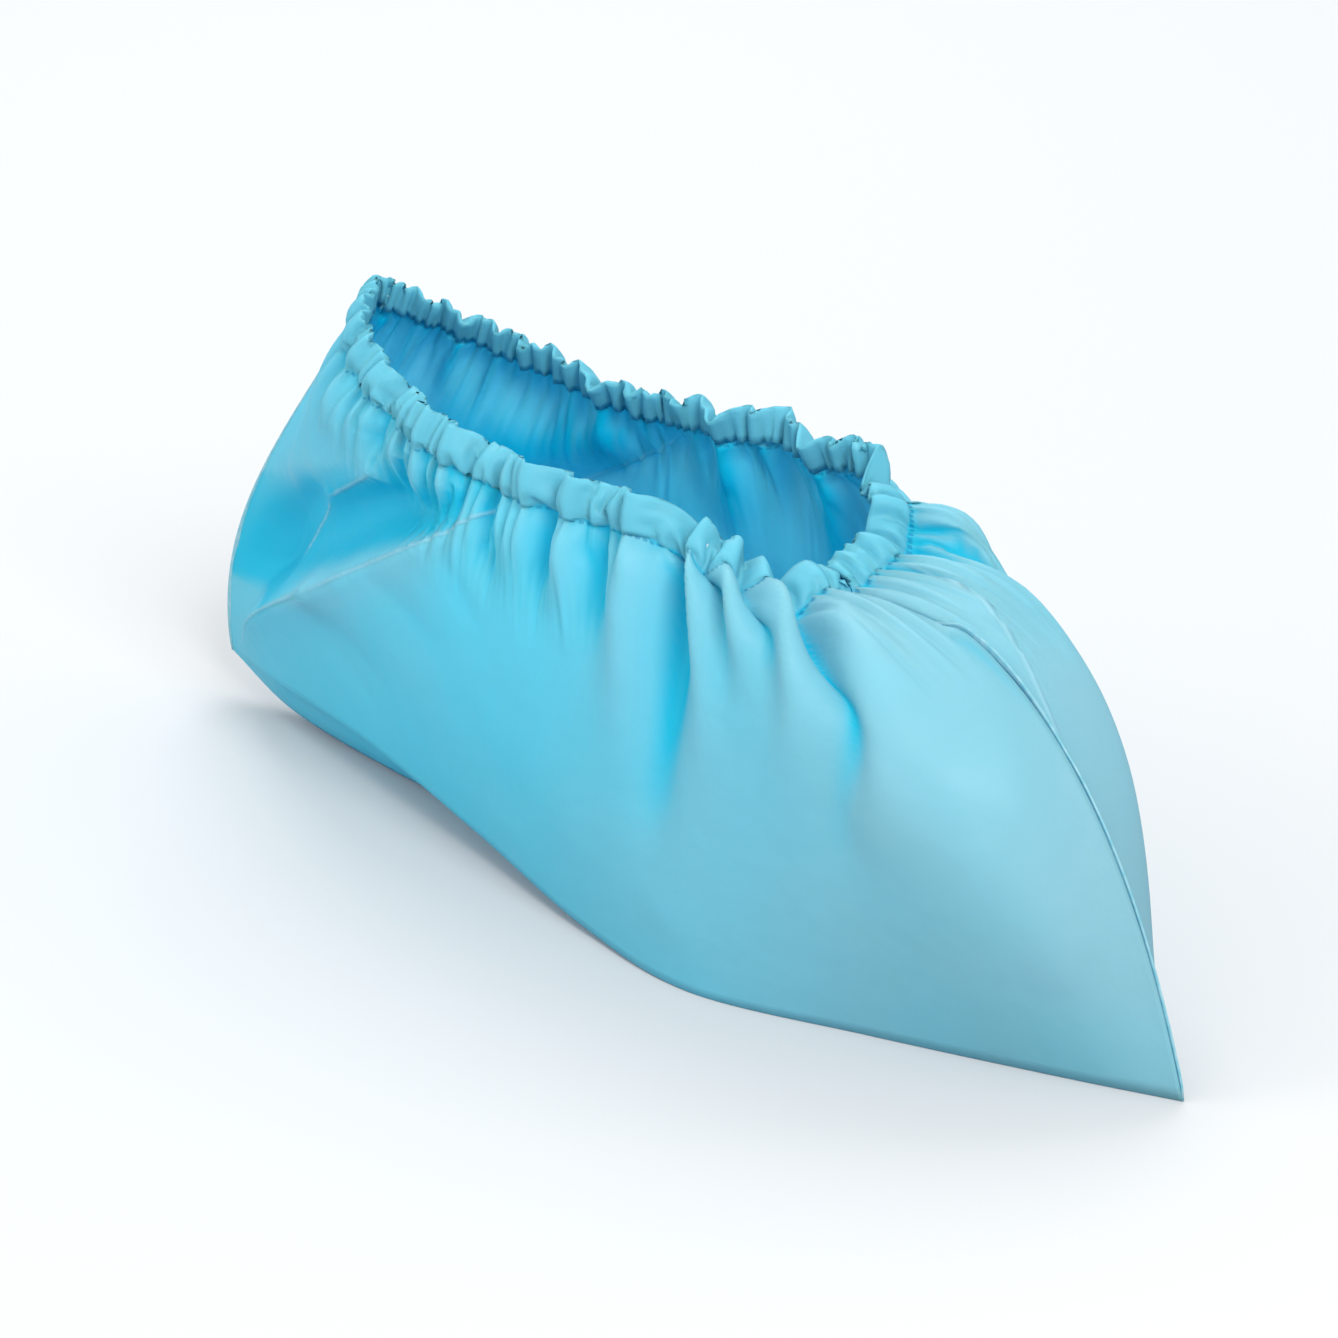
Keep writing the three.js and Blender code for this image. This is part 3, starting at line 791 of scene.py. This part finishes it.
def filmMaterial():
    material, tree, shader = newMaterial("satin film")
    nodes, links = tree.nodes, tree.links
    shader.inputs["Specular IOR Level"].default_value = filmLook["specular"]
    grain = grainOf(tree, filmLook)
    # this mask paints shade into fold pockets and the heel hollow
    pocketShade = addNode(tree, "ShaderNodeAttribute", attribute_name="pocketShade").outputs["Fac"]
    # this mask paints highlights onto raised folds
    ridge = addNode(tree, "ShaderNodeAttribute", attribute_name="ridge").outputs["Fac"]
    uv = nodes.new("ShaderNodeUVMap")
    split = nodes.new("ShaderNodeSeparateXYZ")
    links.new(uv.outputs[0], split.inputs[0])
    offKeel = mathNode(tree, "SUBTRACT", split.outputs[1], 0.5)
    fromKeel = mathNode(tree, "MULTIPLY", mathNode(tree, "ABSOLUTE", offKeel), 2.0 * edgeRow)
    offLine = mathNode(tree, "ABSOLUTE", mathNode(tree, "SUBTRACT", fromKeel, stitchRow))
    line = ranged(tree, offLine, sealLine["halfRows"], sealLine["halfRows"] + sealLine["blur"], 1.0, 0.0)
    dash = ranged(tree, waveNode(tree, split.outputs[0], sealLine["crimps"]), *sealLine["dash"])
    crimp = mathNode(tree, "MULTIPLY", line, dash)
    onHem = ranged(tree, fromKeel, *(stitchRow + rows for rows in filmLook["hemRows"]))
    up = ranged(tree, fromKeel, filmSheet["soleRows"], stitchRow)
    flatSpot = nodes.new("ShaderNodeCombineXYZ")
    links.new(mathNode(tree, "MULTIPLY", split.outputs[0], folds["length"]), flatSpot.inputs[0])
    links.new(mathNode(tree, "MULTIPLY", up, folds["height"]), flatSpot.inputs[1])
    whichSide = mathNode(tree, "SIGN", offKeel)
    links.new(mathNode(tree, "MULTIPLY", whichSide, creaseLook["sides"]), flatSpot.inputs[2])
    lines = 0.0
    for row in folds["creases"]:
        mark = nodes.new("ShaderNodeGroup")
        mark.node_tree = creaseLine
        links.new(flatSpot.outputs[0], mark.inputs["Place"])
        for name, edge in (("Start", "from"), ("End", "to")):
            place = row[edge + "Film"] * folds["length"], row[edge + "Up"] * folds["height"]
            mark.inputs[name].default_value = (*place, row["side"] * creaseLook["sides"])
        mark.inputs["Width"].default_value = creaseLook["width"]
        lines = mathNode(tree, "MAXIMUM", lines, mark.outputs["Mask"])
    # paler towards the toe: partly stretched film, partly a painted sheen
    stretchAndSheen = ranged(tree, split.outputs[0], *filmLook["stretchAndSheenFilm"])
    clouded = ranged(tree, grain.outputs["Cloud"], *filmLook["cloudRange"])

    def share(value, part):
        return mathNode(tree, "MULTIPLY", value, part)

    paler = mathNode(tree, "ADD", share(stretchAndSheen, filmLook["stretchAndSheen"]), share(clouded, filmLook["cloudy"]))
    colour = mixedColour(tree, paler, filmLook["plain"], filmLook["pale"])
    # painted shade in fold pockets and the heel hollow
    colour = mixedColour(tree, pocketShade, colour, filmLook["paintedShade"])
    # painted highlight on raised folds
    colour = mixedColour(tree, share(ridge, filmLook["paintedHighlightShare"]), colour, filmLook["paintedHighlight"])
    colour = mixedColour(tree, onHem, colour, filmLook["hem"])
    colour = mixedColour(tree, share(lines, creaseLook["strength"]), colour, filmLook["line"])
    colour = mixedColour(tree, share(crimp, sealLine["strength"]), colour, sealLine["shade"])
    links.new(colour, shader.inputs["Base Color"])
    crinkle = grain.outputs["Crinkle"]
    rough = ranged(tree, crinkle, *filmLook["crinkleRange"], *filmLook["roughness"])
    links.new(rough, shader.inputs["Roughness"])
    soft = bumped(tree, crinkle, filmLook["crinkleDepth"], filmLook["bump"])
    fine = bumped(tree, grain.outputs["Grain"], filmLook["grainDepth"], filmLook["bump"], soft)
    ridged = bumped(tree, lines, creaseLook["depth"], creaseLook["bump"], fine)
    sealed = bumped(tree, crimp, sealLine["depth"], sealLine["bump"], ridged)
    sealed.invert = True
    links.new(sealed.outputs[0], shader.inputs["Normal"])
    letLightThrough(tree, shader, filmLook)
    return material


# fused film along the welds: paler, clearer and glossier than the rest
weldLook = {
    "plain": (0.26, 0.64, 0.72, 1), "pale": (0.48, 0.78, 0.83, 1), "through": (0.2, 0.66, 0.8, 1),
    "translucent": 0.5, "roughness": 0.28, "specular": 0.6,
    "grainScale": 2200, "crinkleScale": 320, "melted": (0.35, 0.65), "depth": 0.0002, "bump": 0.6,
}


def weldMaterial():
    material, tree, shader = newMaterial("fused film")
    shader.inputs["Specular IOR Level"].default_value = weldLook["specular"]
    shader.inputs["Roughness"].default_value = weldLook["roughness"]
    crinkle = grainOf(tree, weldLook).outputs["Crinkle"]
    melted = ranged(tree, crinkle, *weldLook["melted"])
    colour = mixedColour(tree, melted, weldLook["plain"], weldLook["pale"])
    tree.links.new(colour, shader.inputs["Base Color"])
    lumpy = bumped(tree, crinkle, weldLook["depth"], weldLook["bump"])
    tree.links.new(lumpy.outputs[0], shader.inputs["Normal"])
    letLightThrough(tree, shader, weldLook)
    return material


# knitted elastic: rows of short ribs across a white band
elasticLook = {
    "high": (0.9, 0.92, 0.93, 1), "low": (0.66, 0.69, 0.72, 1), "ribs": 260, "rows": 6,
    "roughness": 0.75, "depth": 0.0003, "bump": 0.7,
}


def elasticMaterial():
    material, tree, shader = newMaterial("knitted elastic")
    shader.inputs["Roughness"].default_value = elasticLook["roughness"]
    uv = tree.nodes.new("ShaderNodeUVMap")
    split = tree.nodes.new("ShaderNodeSeparateXYZ")
    tree.links.new(uv.outputs[0], split.inputs[0])
    ribs = waveNode(tree, split.outputs[0], elasticLook["ribs"])
    rows = waveNode(tree, split.outputs[1], elasticLook["rows"])
    knit = ranged(tree, mathNode(tree, "ADD", ribs, rows), -2.0, 2.0)
    colour = mixedColour(tree, knit, elasticLook["low"], elasticLook["high"])
    tree.links.new(colour, shader.inputs["Base Color"])
    ribbed = bumped(tree, knit, elasticLook["depth"], elasticLook["bump"])
    tree.links.new(ribbed.outputs[0], shader.inputs["Normal"])
    return material


satin, fused, knitted = filmMaterial(), weldMaterial(), elasticMaterial()
for piece, slotName, look, nodes in (
    (heelWeld, "weld", fused, ["heel_seam"]),
    (toeWeld, "weld", fused, ["toe_seam"]),
    (elastic, "elastic", knitted, ["elastic_band"]),
):
    piece.data.materials.append(look)
    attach(piece, "root")
    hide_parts(*nodes)
film.data.materials.append(satin)
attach(film, "root")
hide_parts("film_body", "hem_casing")
print("materials and slots set")

# a pale floor, three lamps and the camera
studio = {
    "azimuth": 46.98, "elevation": 22.0, "distance": 1.6, "aim": (0.0, 0.0, 0.062), "lens": 158, "sensor": 36,
    "floor": 12.0, "below": 0.0002, "paint": (0.52, 0.535, 0.55, 1), "air": (1, 1, 1, 1), "world": 0.88,
    "lamps": asTable(
        "name power size x y z",
        [
            ("key", 42, 0.9, 1.6, -0.7, 1.5),
            ("back", 20, 1.2, -0.9, 0.8, 1.5),
            ("fill", 14, 1.4, -1.2, -1.4, 0.9),
        ],
    ),
}


def makeStudio():
    deselectAll()
    bpy.ops.mesh.primitive_plane_add(size=studio["floor"], location=(0, 0, -studio["below"]))
    floor = bpy.context.object
    floor.name = "floor"
    paint = bpy.data.materials.new("pale floor")
    paint.use_nodes = True
    matte = addNode(paint.node_tree, "ShaderNodeBsdfDiffuse", Color=studio["paint"])
    paint.node_tree.links.new(matte.outputs[0], paint.node_tree.nodes["Material Output"].inputs["Surface"])
    floor.data.materials.append(paint)
    world = bpy.data.worlds.new("studio air")
    world.use_nodes = True
    world.node_tree.nodes["Background"].inputs["Color"].default_value = studio["air"]
    world.node_tree.nodes["Background"].inputs["Strength"].default_value = studio["world"]
    bpy.context.scene.world = world
    for row in studio["lamps"]:
        bpy.ops.object.light_add(type="AREA", location=(row["x"], row["y"], row["z"]))
        lamp = bpy.context.object
        lamp.name = row["name"]
        lamp.data.energy = row["power"]
        lamp.data.size = row["size"]
        aim = -lamp.location.normalized()
        lamp.rotation_euler = aim.to_track_quat("-Z", "Y").to_euler()
    a, e = math.radians(studio["azimuth"]), math.radians(studio["elevation"])
    back = np.array([math.sin(a) * math.cos(e), -math.cos(a) * math.cos(e), math.sin(e)])
    place = np.array(studio["aim"]) + studio["distance"] * back
    bpy.ops.object.camera_add(location=place, rotation=(math.pi / 2 - e, 0, a))
    camera = bpy.context.object
    camera.data.lens = studio["lens"]
    camera.data.sensor_width = studio["sensor"]
    bpy.context.scene.camera = camera
    bpy.context.scene.view_settings.view_transform = "Standard"


makeStudio()
print("studio ready")
